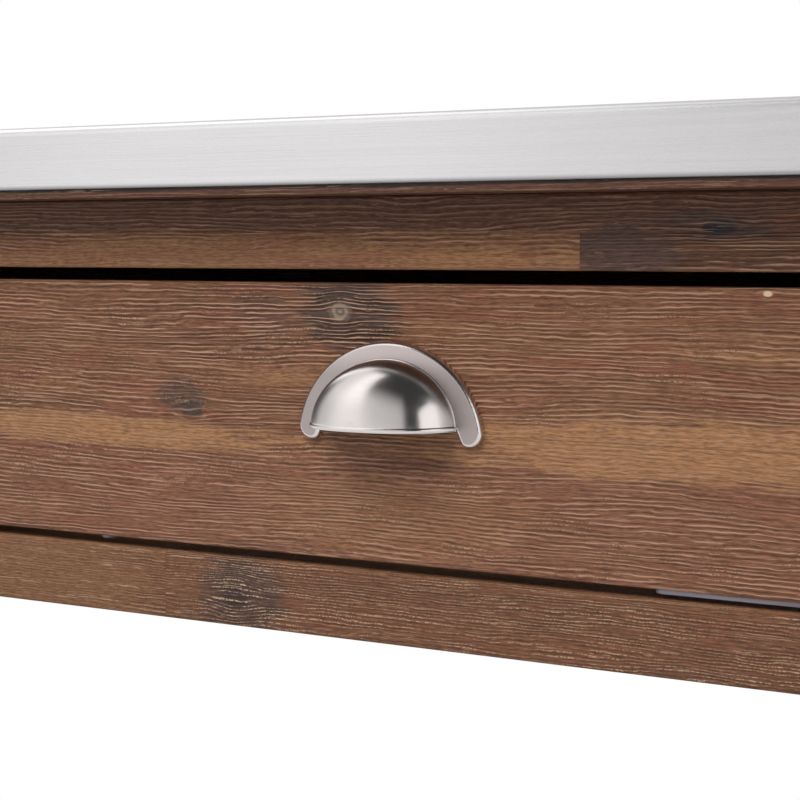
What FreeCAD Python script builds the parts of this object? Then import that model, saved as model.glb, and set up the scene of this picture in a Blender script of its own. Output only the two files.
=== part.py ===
import FreeCAD, Part
import math
import os

# Kitchen cart: a steel-skinned worktop on four wood legs, with two inset drawers on telescopic slides,
# two slatted shelves, a towel bar on one end and four swivel casters.
# Millimetres. X runs along the cart, -Y is the drawer side, Z is up and the floor is at zero.

# Overall size
top_length = 1270.0
top_depth = 508.0
cart_height = 914.0

# Worktop: a folded steel pan over a wood core
steel_sheet = 1.2
skirt_height = 29.0
pan_edge_radius = 4.0
skirt_edge_radius = 1.0
core_reveal = 4.0

# Frame
end_overhang = 50.0
front_overhang = 27.0
leg_size = 57.0
leg_ease = 3.0
rail_thickness = 26.0
rail_setback = 5.0
rail_ease = 1.5
upper_rail_height = 32.0
lower_rail_height = 32.0
stile_width = 40.0
runner_height = 60.0
tenon_shoulder = 5.0
tenon_length = 15.0
stile_tenon_length = 10.0
glue_gap = 0.2

# Angle brackets that hold the worktop to the frame
bracket_arm = 24.0
bracket_width = 20.0
bracket_sheet = 2.0
bracket_end_margin = 130.0

# Drawers
drawer_front_height = 122.0
drawer_front_thickness = 20.0
drawer_front_ease = 1.5
drawer_gap_above = 6.0
drawer_gap_below = 4.0
drawer_gap_side = 3.0
drawer_box_height = 90.0
drawer_back_room = 16.0
drawer_box_lift = 12.0
drawer_wall = 12.0
drawer_bottom_thickness = 6.0
drawer_bottom_inset = 6.0
drawer_groove_depth = 6.0

# Telescopic slides
slide_end_room = 27.0
slide_height = 45.0
slide_thickness = 12.7
slide_sheet = 1.2
slide_setback = 5.0
slide_web_gap = 1.0
slide_lip = 2.9
ball_diameter = 3.0
ball_clearance = 0.2
ball_pitch = 12.0
balls_in_row = 8
cage_thickness = 1.8

# Cup pull
pull_width = 95.4
pull_height = 44.0
pull_projection = 31.0
pull_lift = 53.0
pull_wall = 2.0
pull_flange = 4.0
pull_flange_ease = 1.9
pull_rim_top = 7.5
pull_bowl_width = 69.4
pull_bowl_fullness = 2.4
pull_foot_width = 9.8
pull_heel_radius = 6.2
pull_toe_radius = 3.4
pull_lip_height = 6.8
pull_lip_radius = 1.15
pull_lip_reach = 0.6
pull_bead_radius = 0.5
pull_screw_radius = 2.0
pull_screw_head_radius = 4.0
pull_screw_head_height = 2.4
pull_screw_bite = 2.8
screw_clearance = 0.2

# Slatted shelves
mid_shelf_top = 415.0
low_shelf_top = 190.0
shelf_rail_height = 45.0
slat_width = 70.0
slat_thickness = 15.0
slat_gap = 10.0
slat_seat = 10.0
slat_ease = 1.5

# Towel bar on the left end
bar_diameter = 16.0
bar_length = 320.0
bar_standoff = 38.0
bar_drop = 95.0
bar_end_ease = 3.0
post_inset = 30.0
post_radius = 7.0
post_eye_radius = 11.0
post_eye_length = 18.0
post_rose_radius = 17.0
post_rose_thickness = 4.0
bar_clearance = 0.1

# Casters
caster_height = 100.0
caster_trail = 28.0
wheel_diameter = 75.0
wheel_width = 24.0
wheel_tread_ease = 4.0
wheel_hub_radius = 11.0
wheel_rim_depth = 9.0
wheel_dish = 4.0
wheel_side_gap = 2.0
hub_side_gap = 0.5
fork_sheet = 2.5
fork_cup_radius = 19.0
fork_cup_height = 11.5
fork_top_radius = 15.0
fork_boss_radius = 10.0
stem_radius = 5.0
stem_length = 38.0
stem_plate_radius = 20.0
stem_plate_thickness = 3.8
rivet_radius = 8.5
rivet_height = 2.5
swivel_clearance = 0.4
axle_radius = 4.0
axle_head_radius = 7.0
axle_head_height = 3.0
running_clearance = 0.3
pedal_pivot_out = 19.0
pedal_pivot_up = 38.5
pedal_pin_radius = 2.5
pedal_ear_radius = 5.5
pedal_barrel_radius = 4.3
pedal_shoe_clearance = 0.4
pedal_shoe_width = 3.0
pedal_tongue_length = 22.0
pedal_tongue_width = 22.0
pedal_tongue_thickness = 2.5
pedal_rise = 12.0
pedal_travel = 22.0

# Levels and faces worked out from the sizes above
top_underside = cart_height - skirt_height - core_reveal
frame_half_length = top_length / 2 - end_overhang
frame_half_depth = top_depth / 2 - front_overhang
leg_inner_x = frame_half_length - leg_size
leg_inner_y = frame_half_depth - leg_size
rail_front_y = -(frame_half_depth - rail_setback)
rail_back_y = rail_front_y + rail_thickness
apron_outer_x = frame_half_length - rail_setback
apron_inner_x = apron_outer_x - rail_thickness
upper_rail_bottom = top_underside - upper_rail_height
drawer_top = upper_rail_bottom - drawer_gap_above
drawer_bottom = drawer_top - drawer_front_height
lower_rail_top = drawer_bottom - drawer_gap_below
apron_bottom = lower_rail_top - lower_rail_height
box_bottom = drawer_bottom + drawer_box_lift
box_top = box_bottom + drawer_box_height
slide_middle_z = (box_bottom + box_top) / 2
front_back_y = rail_front_y + drawer_front_thickness
box_back_y = -rail_back_y - drawer_back_room
slide_y = (front_back_y + slide_setback, box_back_y - slide_end_room)
slide_length = slide_y[1] - slide_y[0]
panel_z = (box_bottom + drawer_bottom_inset, box_bottom + drawer_bottom_inset + drawer_bottom_thickness)
runner_z = (slide_middle_z - runner_height / 2, slide_middle_z + runner_height / 2)
wheel_radius = wheel_diameter / 2
leg_bottom = caster_height

LEFT, RIGHT = -1, 1
SIDES = {"left": LEFT, "right": RIGHT}
ROWS = {"front": -1, "back": 1}
UP = FreeCAD.Vector(0, 0, 1)
ORIGIN = FreeCAD.Vector(0, 0, 0)


# General shapes

def point(x, y, z=0.0):
    """A point, in millimetres."""
    return FreeCAD.Vector(x, y, z)


def box(x, y, z):
    """A block between three (low, high) pairs."""
    return Part.makeBox(x[1] - x[0], y[1] - y[0], z[1] - z[0], point(x[0], y[0], z[0]))


def span(a, b):
    """Two numbers as a (low, high) pair."""
    return (min(a, b), max(a, b))


def around(middle, width):
    """A (low, high) pair about a middle."""
    return (middle - width / 2, middle + width / 2)


def edges_along(shape, axis):
    """The straight edges of a shape that run along one axis."""
    direction = {"x": point(1, 0, 0), "y": point(0, 1, 0), "z": UP}[axis]
    found = []
    for edge in shape.Edges:
        ends = edge.Vertexes
        if len(ends) != 2:
            continue
        run = ends[1].Point - ends[0].Point
        if abs(run.dot(direction)) > 0.999 * run.Length:
            found.append(edge)
    return found


def board(x, y, z, along, ease):
    """A sawn board with its long edges rounded over."""
    blank = box(x, y, z)
    return blank.makeFillet(ease, edges_along(blank, along))


def tenons(x, y, z, along, length, grow=0.0):
    """The stub tenons on both ends of a board or, with a grow, the mortises that take them."""
    spans = {"x": x, "y": y, "z": z}
    low, high = spans[along]
    section = {}
    for axis in spans:
        if axis != along:
            section[axis] = (spans[axis][0] + tenon_shoulder - grow, spans[axis][1] - tenon_shoulder + grow)
    first = box(**{**section, along: (low - length - grow, low)})
    last = box(**{**section, along: (high, high + length + grow)})
    return [first, last]


def tenoned(x, y, z, along, ease, length):
    """A board with a stub tenon on each end."""
    return board(x, y, z, along, ease).multiFuse(tenons(x, y, z, along, length)).removeSplitter()


def mortised(shape, rails, length):
    """A piece cut for the tenons of the rails that enter it."""
    pockets = []
    for rail in rails:
        pockets += tenons(*rail, length, glue_gap)
    return shape.cut(pockets)


def outline(points, plane="xy"):
    """A face inside straight lines through the points, on the XY or the XZ plane."""
    if plane == "xz":
        corners = [point(u, 0, w) for u, w in points]
    else:
        corners = [point(u, w, 0) for u, w in points]
    return Part.Face(Part.makePolygon(corners + corners[:1]))


def turned(points, axis_point=ORIGIN, axis=UP):
    """A solid of revolution from an outline of (radius, height) pairs on the XZ plane."""
    return outline(points, "xz").revolve(axis_point, axis, 360)


def pin(start, direction, radius, length):
    """A plain round pin."""
    return Part.makeCylinder(radius, length, start, direction)


def group(solids):
    """Separate solids that share one node."""
    return Part.makeCompound(solids)


def tangent_point(start, middle, radius, way):
    """Where a line from a point touches a circle, on one side of it, as (across, up) pairs."""
    across, up = start[0] - middle[0], start[1] - middle[1]
    angle = math.atan2(up, across) + way * math.acos(radius / math.hypot(across, up))
    return (middle[0] + radius * math.cos(angle), middle[1] + radius * math.sin(angle))


# Worktop

def steel_top():
    """The steel pan: a flat top with a skirt folded down all round."""
    z = (cart_height - skirt_height, cart_height)
    outer = box(around(0, top_length), around(0, top_depth), z)
    folds = [e for e in outer.Edges if e.BoundBox.ZMax > z[1] - glue_gap]
    outer = outer.makeFillet(pan_edge_radius, folds)
    hem = [e for e in outer.Edges if e.BoundBox.ZMax < z[0] + glue_gap]
    outer = outer.makeFillet(skirt_edge_radius, hem)
    inner = box(around(0, top_length - 2 * steel_sheet), around(0, top_depth - 2 * steel_sheet),
                (z[0], z[1] - steel_sheet))
    folds = [e for e in inner.Edges if e.BoundBox.ZMax > z[1] - steel_sheet - glue_gap]
    inner = inner.makeFillet(pan_edge_radius - steel_sheet, folds)
    return outer.cut(inner)


def top_core():
    """The wood core that fills the pan and shows as a thin edge below the skirt."""
    z = (top_underside, cart_height - steel_sheet)
    core = box(around(0, top_length - 2 * steel_sheet), around(0, top_depth - 2 * steel_sheet), z)
    inner_fold = pan_edge_radius - steel_sheet
    upper = [e for e in core.Edges if e.BoundBox.ZMax > z[1] - glue_gap]
    return core.makeChamfer(inner_fold, upper)


def top_brackets():
    """The steel angles that screw up into the core from inside the frame."""
    back_y = -rail_back_y
    bracket_x = leg_inner_x - bracket_end_margin
    places = []
    for x in (-bracket_x, bracket_x):
        places.append((x, rail_back_y, 90))
        places.append((x, back_y, -90))
    places.append((-apron_inner_x, 0, 0))
    places.append((apron_inner_x, 0, 180))
    profile = outline([(0, 0), (bracket_arm, 0), (bracket_arm, -bracket_sheet),
                       (bracket_sheet, -bracket_sheet), (bracket_sheet, -bracket_arm), (0, -bracket_arm)], "xz")
    angle = profile.extrude(point(0, bracket_width, 0))
    angle.translate(point(0, -bracket_width / 2, 0))
    made = []
    for x, y, turn in places:
        one = angle.copy()
        one.rotate(ORIGIN, UP, turn)
        one.translate(point(x, y, top_underside))
        made.append(one)
    return group(made)


# Frame: every rail is a board between two legs, given by its three spans and the way it runs

front_y = (rail_front_y, rail_back_y)
back_y = (-rail_back_y, -rail_front_y)
long_x = (-leg_inner_x, leg_inner_x)
short_y = (-leg_inner_y, leg_inner_y)
apron_z = (apron_bottom, top_underside)
upper_rail_z = (upper_rail_bottom, top_underside)
lower_rail_z = (apron_bottom, lower_rail_top)


def end_x(side):
    """Where a board lies across an end of the frame."""
    return span(side * apron_inner_x, side * apron_outer_x)


FRAME_RAILS = {
    "front_upper_rail": (long_x, front_y, upper_rail_z, "x"),
    "front_lower_rail": (long_x, front_y, lower_rail_z, "x"),
    "back_apron": (long_x, back_y, apron_z, "x"),
    "end_apron_left": (end_x(LEFT), short_y, apron_z, "y"),
    "end_apron_right": (end_x(RIGHT), short_y, apron_z, "y"),
}
STILE = (around(0, stile_width), front_y, (lower_rail_top, upper_rail_bottom), "z")
SHELVES = {"mid_shelf": mid_shelf_top, "low_shelf": low_shelf_top}


def shelf_rails(top):
    """The four rails round a shelf: front, back and two ends."""
    z = (top - shelf_rail_height, top)
    return {
        "front": (long_x, front_y, z, "x"),
        "back": (long_x, back_y, z, "x"),
        "left": (end_x(LEFT), short_y, z, "y"),
        "right": (end_x(RIGHT), short_y, z, "y"),
    }


def leg(side, row):
    """A square leg, mortised for its rails and bored for the caster's stem."""
    x = span(side * leg_inner_x, side * frame_half_length)
    y = span(row * leg_inner_y, row * frame_half_depth)
    post = board(x, y, (leg_bottom, top_underside), "z", leg_ease)
    rails = list(FRAME_RAILS.values())
    for top in SHELVES.values():
        rails += shelf_rails(top).values()
    post = mortised(post, rails, tenon_length)
    socket = pin(point(*caster_place(side, row), leg_bottom), UP,
                 stem_radius + running_clearance, stem_length + glue_gap)
    return post.cut(socket)


def caster_place(side, row):
    """The swivel axis of a caster, which is the middle of its leg."""
    return side * (frame_half_length - leg_size / 2), row * (frame_half_depth - leg_size / 2)


def frame_rail(name):
    """A rail or apron, with mortises for the stile where that meets it."""
    rail = tenoned(*FRAME_RAILS[name], rail_ease, tenon_length)
    if name.startswith("front"):
        rail = mortised(rail, [STILE], stile_tenon_length)
    return rail


def centre_stile():
    """The upright between the two drawers."""
    return tenoned(*STILE, rail_ease, stile_tenon_length)


def centre_runner_beam():
    """The beam behind the stile that carries a slide on each side."""
    return board(around(0, stile_width), (rail_back_y, -rail_back_y), runner_z, "y", rail_ease)


def runner_battens():
    """The packing on each end apron that brings a slide out to the face of the legs."""
    made = []
    for side in SIDES.values():
        x = span(side * leg_inner_x, side * apron_inner_x)
        made.append(board(x, short_y, runner_z, "y", rail_ease))
    return group(made)


# Shelves

def shelf_long_rails(top):
    """The front and back rails of a shelf, rebated on the inside for the slats."""
    rails = shelf_rails(top)
    seat_z = (top - slat_thickness, top + glue_gap)
    made = []
    for name, row in ROWS.items():
        inner = row * -rail_back_y
        seat = box((-leg_inner_x - tenon_length, leg_inner_x + tenon_length),
                   span(inner + row * slat_seat, inner - row * rail_thickness), seat_z)
        made.append(tenoned(*rails[name], rail_ease, tenon_length).cut(seat))
    return group(made)


def shelf_end_rails(top):
    """The rails across the ends of a shelf."""
    rails = shelf_rails(top)
    return group([tenoned(*rails[name], rail_ease, tenon_length) for name in SIDES])


def shelf_slats(top):
    """Slats laid front to back in the rebates, evenly spaced between the legs."""
    clear = 2 * leg_inner_x
    count = int((clear - slat_gap) / (slat_width + slat_gap))
    gap = (clear - count * slat_width) / (count + 1)
    reach = -rail_back_y + slat_seat - glue_gap
    made = []
    for n in range(count):
        start = -leg_inner_x + gap + n * (slat_width + gap)
        made.append(board((start, start + slat_width), (-reach, reach), (top - slat_thickness, top),
                          "y", slat_ease))
    return group(made)


# Towel bar

def bar_axis():
    """The middle of the towel bar."""
    return point(-(apron_outer_x + bar_standoff), 0, top_underside - bar_drop)


def towel_bar():
    """A round rod with eased ends, along the left end of the cart."""
    start = bar_axis() - point(0, bar_length / 2, 0)
    rod = pin(start, point(0, 1, 0), bar_diameter / 2, bar_length)
    return rod.makeFillet(bar_end_ease, [e for e in rod.Edges if len(e.Vertexes) == 1])


def towel_bar_posts():
    """Two posts that stand on the end apron, each with a rose and an eye for the bar."""
    middle = bar_axis()
    made = []
    for row in ROWS.values():
        y = row * (bar_length / 2 - post_inset)
        base = point(-apron_outer_x, y, middle.z)
        out = point(-1, 0, 0)
        rose = pin(base, out, post_rose_radius, post_rose_thickness)
        stalk = pin(base, out, post_radius, bar_standoff)
        eye = pin(point(middle.x, y - post_eye_length / 2, middle.z), point(0, 1, 0),
                  post_eye_radius, post_eye_length)
        bore = pin(point(middle.x, y - post_eye_length, middle.z), point(0, 1, 0),
                   bar_diameter / 2 + bar_clearance, 2 * post_eye_length)
        made.append(rose.multiFuse([stalk, eye]).cut(bore).removeSplitter())
    return group(made)


# Telescopic slides: three channels, one inside the next, with caged balls between them

ball_track = ball_diameter + 2 * ball_clearance
outer_half = slide_height / 2
middle_half = outer_half - slide_sheet - ball_track
inner_half = middle_half - slide_sheet - ball_track
middle_web = slide_sheet + slide_web_gap
inner_lip = middle_web + slide_sheet + slide_web_gap


def channel(web, lip, half):
    """A folded channel of that half height, its web at one depth and its lips reaching another."""
    way = 1 if lip > web else -1
    inside = web + way * slide_sheet
    face = outline([(web, -half), (lip, -half), (lip, -half + slide_sheet), (inside, -half + slide_sheet),
                    (inside, half - slide_sheet), (lip, half - slide_sheet), (lip, half), (web, half)], "xz")
    bar = face.extrude(point(0, slide_length, 0))
    bar.translate(point(0, slide_y[0], slide_middle_z))
    return bar


def slide_outer():
    """The member that is screwed to the cart."""
    return channel(0.0, slide_thickness - slide_lip, outer_half)


def slide_middle():
    """The member between the other two, which moves half as far as the drawer."""
    return channel(middle_web, slide_thickness - slide_lip / 2, middle_half)


def slide_inner():
    """The member that is screwed to the drawer."""
    return channel(slide_thickness, inner_lip, inner_half)


def ball_cage(depth, height):
    """A row of balls in a flat cage."""
    length = balls_in_row * ball_pitch
    start = slide_y[0] + (slide_length - length) / 2
    flat = box(around(depth, ball_diameter * 0.75), (start, start + length), around(height, cage_thickness))
    balls = []
    for n in range(balls_in_row):
        balls.append(Part.makeSphere(ball_diameter / 2, point(depth, start + (n + 0.5) * ball_pitch, height)))
    return flat.multiFuse(balls)


def slide_cages():
    """The four caged rows of one slide: two outside the middle member and two inside it."""
    outer_depth = (middle_web + slide_thickness - slide_lip) / 2
    inner_depth = (inner_lip + slide_thickness - slide_lip / 2) / 2
    rows = []
    for way in (-1, 1):
        rows.append(ball_cage(outer_depth, slide_middle_z + way * (middle_half + ball_track / 2)))
        rows.append(ball_cage(inner_depth, slide_middle_z + way * (inner_half + ball_track / 2)))
    return rows


def bay(side):
    """The opening of a drawer, between the stile and the leg."""
    return span(side * stile_width / 2, side * leg_inner_x)


def slide_pair(side, members):
    """Slide members placed on both walls of a drawer's opening."""
    low, high = bay(side)
    made = []
    for member in members:
        first = member.copy()
        first.translate(point(low, 0, 0))
        last = member.mirror(ORIGIN, point(1, 0, 0))
        last.translate(point(high, 0, 0))
        made += [first, last]
    return group(made)


# Drawers

def drawer_box_x(side):
    """The outside of a drawer box, between its slides."""
    low, high = bay(side)
    return (low + slide_thickness, high - slide_thickness)


def bottom_groove(side, grow):
    """The space that the drawer's bottom panel fills in the walls around it."""
    low, high = drawer_box_x(side)
    reach = drawer_wall - drawer_groove_depth
    return box((low + reach - grow, high - reach + grow),
               (front_back_y - drawer_groove_depth - grow, box_back_y),
               (panel_z[0] - grow, panel_z[1] + grow))


def drawer_front(side):
    """The inset front board, grooved for the bottom and bored for the pull's screws."""
    low, high = bay(side)
    face = board((low + drawer_gap_side, high - drawer_gap_side), (rail_front_y, front_back_y),
                 (drawer_bottom, drawer_top), "x", drawer_front_ease)
    holes = [pin(p, point(0, 1, 0), pull_screw_radius + screw_clearance, drawer_front_thickness)
             for p in pull_screw_places(side)]
    return face.cut([bottom_groove(side, glue_gap)] + holes)


def drawer_wall_board(side, wall):
    """A side of the drawer box, grooved for the bottom."""
    low, high = drawer_box_x(side)
    x = (low, low + drawer_wall) if wall == LEFT else (high - drawer_wall, high)
    plank = board(x, (front_back_y, box_back_y), (box_bottom, box_top), "y", rail_ease)
    return plank.cut(bottom_groove(side, glue_gap))


def drawer_back(side):
    """The back of the drawer box, which stands on the bottom panel."""
    low, high = drawer_box_x(side)
    return box((low + drawer_wall, high - drawer_wall), (box_back_y - drawer_wall, box_back_y),
               (panel_z[1], box_top))


def drawer_bottom_panel(side):
    """The thin bottom panel, slid into its grooves from the back."""
    return bottom_groove(side, 0.0)


# Cup pull: made flat on the XY plane with its front along +Z, then stood against the drawer

pull_half = pull_width / 2
bowl_half = pull_bowl_width / 2
bowl_rise = pull_height - pull_rim_top - pull_lip_height
pull_inner_half = bowl_half - pull_wall
pull_inner_rise = bowl_rise - pull_wall


def half_ellipse(middle, across, along):
    """Half an ellipse as an edge, from one end of its width, over its height, to the other end."""
    if across.Length >= along.Length:
        curve = Part.Ellipse(middle + across, middle + along, middle)
        return Part.ArcOfEllipse(curve, 0, math.pi).toShape()
    curve = Part.Ellipse(middle + along, middle - across, middle)
    return Part.ArcOfEllipse(curve, -math.pi / 2, math.pi / 2).toShape()


def arch(half, rise, base):
    """A half ellipse over a level line of the pull."""
    return half_ellipse(point(0, base), point(half, 0), point(0, rise))


def full_curve(middle, across, along, turn):
    """A curve like an ellipse but fuller, as an edge, from one end of its width round through an angle."""
    power = 2 / pull_bowl_fullness
    steps = 24
    places = []
    for step in range(steps + 1):
        angle = turn * step / steps
        wide = math.copysign(abs(math.cos(angle)) ** power, math.cos(angle))
        places.append(middle + across * wide + along * math.sin(angle) ** power)
    curve = Part.BSplineCurve()
    leaving = along * math.cos(turn) - across * math.sin(turn)
    curve.interpolate(Points=places, InitialTangent=along, FinalTangent=leaving)
    return curve.toShape()


def bead(path, radius):
    """A round bead along an edge."""
    start = path.FirstParameter
    ring = Part.Wire(Part.makeCircle(radius, path.valueAt(start), path.tangentAt(start)))
    return Part.Wire(path).makePipeShell([ring], True, False)


def pull_flange_plate():
    """The flat rim on two feet with round tips, before the bowl is hollowed out of it."""
    corners = [point(side * bowl_half, pull_lip_height) for side in SIDES.values()]
    edges = [arch(pull_half, pull_height, 0), Part.makeLine(*corners)]
    for side, corner in zip(SIDES.values(), corners):
        heel = point(side * pull_half, 0)
        toe = point(side * (pull_half - pull_foot_width), 0)
        edges.append(Part.makeLine(heel, toe))
        edges.append(Part.makeLine(toe, corner))
    wire = Part.Wire(Part.__sortEdges__(edges))
    plate = Part.Face(wire).extrude(point(0, 0, pull_flange))
    for radius, inset in ((pull_heel_radius, 0.0), (pull_toe_radius, pull_foot_width)):
        tips = [e for e in edges_along(plate, "z")
                if e.BoundBox.YMax < glue_gap and abs(abs(e.CenterOfMass.x) - pull_half + inset) < glue_gap]
        plate = plate.makeFillet(radius, tips)
    rim = [e for e in plate.Edges if e.BoundBox.ZMin > pull_flange - glue_gap]
    return plate.makeFillet(pull_flange_ease, rim)


def bowl(half, rise, reach):
    """A full round dome above the lip, bulging forward."""
    peak = point(0, 0, reach)
    side = point(1, 0)
    outline = [full_curve(ORIGIN, side, peak, math.pi / 2), Part.makeLine(peak, ORIGIN), Part.makeLine(ORIGIN, side)]
    dome = Part.Face(Part.Wire(outline)).revolve(ORIGIN, UP, 360)
    stretch = FreeCAD.Matrix()
    stretch.A11 = half
    stretch.A22 = rise
    dome = dome.transformGeometry(stretch)
    dome.translate(point(0, pull_lip_height))
    return dome


def cup_pull(side):
    """A cast cup pull: rim, hollow bowl, rolled lip, a fine bead round the bowl and blind screw holes."""
    far = 2 * pull_width
    keep = box((-far, far), (pull_lip_height, far), (0, far))
    shell = bowl(bowl_half, bowl_rise, pull_projection).common(keep)
    hollow = bowl(pull_inner_half, pull_inner_rise, pull_projection - pull_wall)
    lip_inset = pull_lip_radius - pull_lip_reach
    lip = full_curve(point(0, pull_lip_height + pull_lip_radius), point(bowl_half - lip_inset, 0),
                     point(0, 0, pull_projection - lip_inset), math.pi)
    share = pull_flange / pull_projection
    shrink = (1 - share ** pull_bowl_fullness) ** (1 / pull_bowl_fullness)
    seam = half_ellipse(point(0, pull_lip_height, pull_flange), point(bowl_half * shrink, 0),
                        point(0, bowl_rise * shrink))
    body = pull_flange_plate().fuse([shell, bead(lip, pull_lip_radius), bead(seam, pull_bead_radius)])
    below = box((-pull_inner_half, pull_inner_half), (-far, pull_lip_height), (-far, pull_flange))
    body = body.cut([hollow, below, box((-far, far), (-far, far), (-far, 0))])
    holes = [pin(point(x, pull_foot_width / 2), UP, pull_screw_radius + screw_clearance, pull_screw_bite + glue_gap)
             for x in pull_screw_offsets()]
    body = body.cut(holes).removeSplitter()
    body.rotate(ORIGIN, point(1, 0, 0), 90)
    body.translate(pull_place(side))
    return body


def pull_screw_offsets():
    """How far the two screws are from the middle of a pull: one in each foot."""
    return [way * (pull_half - pull_foot_width / 2) for way in SIDES.values()]


def pull_place(side):
    """The middle of a pull's feet, on the face of its drawer."""
    return point(sum(bay(side)) / 2, rail_front_y, drawer_bottom + pull_lift)


def pull_screw_places(side):
    """Where the two screws of a pull go through the drawer's face."""
    return [pull_place(side) + point(x, 0, pull_foot_width / 2) for x in pull_screw_offsets()]


def pull_screws(side):
    """Two screws from inside the drawer into the pull's feet."""
    length = drawer_front_thickness + pull_screw_bite
    made = []
    for place in pull_screw_places(side):
        head = pin(place + point(0, drawer_front_thickness, 0), point(0, 1, 0),
                   pull_screw_head_radius, pull_screw_head_height)
        shank = pin(place - point(0, pull_screw_bite, 0), point(0, 1, 0), pull_screw_radius, length)
        made.append(head.fuse(shank).removeSplitter())
    return group(made)


# Casters: made with the swivel axis on Z and the wheel trailing towards +X, then set under a leg

fork_inside = wheel_width / 2 + wheel_side_gap
fork_outside = fork_inside + fork_sheet
cup_top = caster_height - stem_plate_thickness - swivel_clearance
cup_bottom = cup_top - fork_cup_height
pedal_pivot = point(caster_trail + pedal_pivot_out, 0, wheel_radius + pedal_pivot_up)


def cheek(first, last, middle, radius):
    """A flat plate from two points on the bridge down to a round boss, given as (across, up) pairs."""
    boss = point(middle[0], 0, middle[1])
    start = point(first[0], 0, first[1])
    end = point(last[0], 0, last[1])
    near = tangent_point(first, middle, radius, 1)
    far = tangent_point(last, middle, radius, -1)
    near = point(near[0], 0, near[1])
    far = point(far[0], 0, far[1])
    down = (boss - (start + end) * 0.5).normalize()
    sides = [Part.makeLine(end, start), Part.makeLine(start, near),
             Part.Arc(near, boss + down * radius, far).toShape(), Part.makeLine(far, end)]
    return Part.Face(Part.Wire(sides)).extrude(point(0, fork_sheet, 0))


def caster_stem():
    """The threaded stem, its plate under the leg and the rivet that the fork turns on."""
    rivet_top = cup_bottom - swivel_clearance
    rivet_bottom = rivet_top - rivet_height
    plate_bottom = caster_height - stem_plate_thickness
    return turned([(0, rivet_bottom), (rivet_radius, rivet_bottom), (rivet_radius, rivet_top),
                   (stem_radius, rivet_top), (stem_radius, plate_bottom), (stem_plate_radius, plate_bottom),
                   (stem_plate_radius, caster_height), (stem_radius, caster_height),
                   (stem_radius, caster_height + stem_length), (0, caster_height + stem_length)])


def caster_fork(braked):
    """The pressed fork: a round cup on a bridge with two cheeks, and ears for a brake pedal."""
    bore = stem_radius + running_clearance
    cup = turned([(bore, cup_bottom), (fork_cup_radius, cup_bottom), (fork_cup_radius, cup_bottom + fork_sheet),
                  (fork_top_radius, cup_top), (bore, cup_top)])
    bridge_x = (-fork_top_radius, fork_cup_radius + fork_sheet)
    bridge = box(bridge_x, (-fork_outside, fork_outside), (cup_bottom, cup_bottom + fork_sheet))
    bridge = bridge.cut(pin(point(0, 0, 0), UP, bore, caster_height))
    top = cup_bottom + fork_sheet
    plate = cheek((bridge_x[0], top), (bridge_x[1], top), (caster_trail, wheel_radius), fork_boss_radius)
    eyes = [pin(point(caster_trail, -fork_outside, wheel_radius), point(0, 1, 0),
                axle_radius + running_clearance, 2 * fork_outside)]
    if braked:
        ear = cheek((0, cup_bottom), (bridge_x[1], top), (pedal_pivot.x, pedal_pivot.z), pedal_ear_radius)
        plate = plate.fuse(ear)
        eyes.append(pin(point(pedal_pivot.x, -fork_outside, pedal_pivot.z), point(0, 1, 0),
                        pedal_pin_radius + running_clearance, 2 * fork_outside))
    plates = []
    for start in (fork_inside, -fork_outside):
        one = plate.copy()
        one.translate(point(0, start, 0))
        plates.append(one)
    return cup.multiFuse([bridge] + plates).cut(eyes).removeSplitter()


def caster_wheel():
    """A tyred wheel with dished sides and a hub that runs on the axle."""
    half = wheel_width / 2
    hub = fork_inside - hub_side_gap
    bore = axle_radius + running_clearance
    rim = wheel_radius - wheel_rim_depth
    dish = half - wheel_dish
    wheel = turned([(bore, -hub), (wheel_hub_radius, -hub), (wheel_hub_radius, -dish), (rim, -dish),
                    (rim, -half), (wheel_radius, -half), (wheel_radius, half), (rim, half), (rim, dish),
                    (wheel_hub_radius, dish), (wheel_hub_radius, hub), (bore, hub)])
    shoulders = [e for e in wheel.Edges if len(e.Vertexes) == 1 and abs(e.Length - math.pi * wheel_diameter) < 1]
    wheel = wheel.makeFillet(wheel_tread_ease, shoulders)
    wheel.rotate(ORIGIN, point(1, 0, 0), 90)
    wheel.translate(point(caster_trail, 0, wheel_radius))
    return wheel


def caster_axle():
    """The axle bolt, with a head outside each cheek."""
    half = fork_outside
    outer = half + axle_head_height
    axle = turned([(0, -outer), (axle_head_radius, -outer), (axle_head_radius, -half), (axle_radius, -half),
                   (axle_radius, half), (axle_head_radius, half), (axle_head_radius, outer), (0, outer)])
    axle.rotate(ORIGIN, point(1, 0, 0), 90)
    axle.translate(point(caster_trail, 0, wheel_radius))
    return axle


def brake_pedal():
    """The foot pedal: a barrel on a pin, a tongue to step on and a shoe that nears the tyre."""
    width = 2 * (fork_inside - hub_side_gap)
    barrel = pin(point(0, -width / 2, 0), point(0, 1, 0), pedal_barrel_radius, width)
    axle = pin(point(0, -fork_outside, 0), point(0, 1, 0), pedal_pin_radius, 2 * fork_outside)
    tongue = box((0, pedal_barrel_radius + pedal_tongue_length), around(0, pedal_tongue_width),
                 around(0, pedal_tongue_thickness))
    tongue.rotate(ORIGIN, point(0, 1, 0), -pedal_rise)
    wheel_middle = point(caster_trail, 0, wheel_radius)
    to_wheel = wheel_middle - pedal_pivot
    reach = to_wheel.Length - wheel_radius - pedal_shoe_clearance
    shoe = box((0, reach), around(0, width), around(0, pedal_shoe_width))
    shoe = shoe.common(pin(point(0, -width / 2, 0), point(0, 1, 0), reach, width))
    aim = math.degrees(math.atan2(-to_wheel.z, to_wheel.x)) - pedal_travel
    shoe.rotate(ORIGIN, point(0, 1, 0), aim)
    pedal = barrel.multiFuse([axle, tongue, shoe]).removeSplitter()
    pedal.translate(pedal_pivot)
    return pedal


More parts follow.
